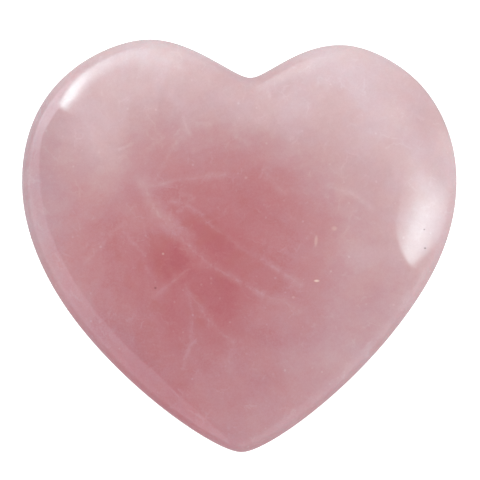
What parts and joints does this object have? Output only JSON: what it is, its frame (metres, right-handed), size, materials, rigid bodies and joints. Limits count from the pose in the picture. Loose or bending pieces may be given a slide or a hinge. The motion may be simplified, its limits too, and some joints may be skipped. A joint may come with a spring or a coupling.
{
  "type": "gua sha scraper",
  "caption": "Heart-shaped gua sha stone, flat-faced and polished, with rounded edges, a thicker and a thinner side, a notch for the jaw and a blunt tip.",
  "frame": {"origin": "under the middle of the outline's box, on the face that the stone lies on", "axes": "+Z out of the upper face, through the thickness; +X across the two lobes, towards the thinner side; +Y from the tip to the notch"},
  "size_m": [0.08, 0.076, 0.008],
  "materials": {
    "rose_quartz": "polished, translucent pink quartz with paler clouds and fine white veins"
  },
  "bodies": {
    "root": {"heart_stone": "rose_quartz"}
  },
  "joints": []
}
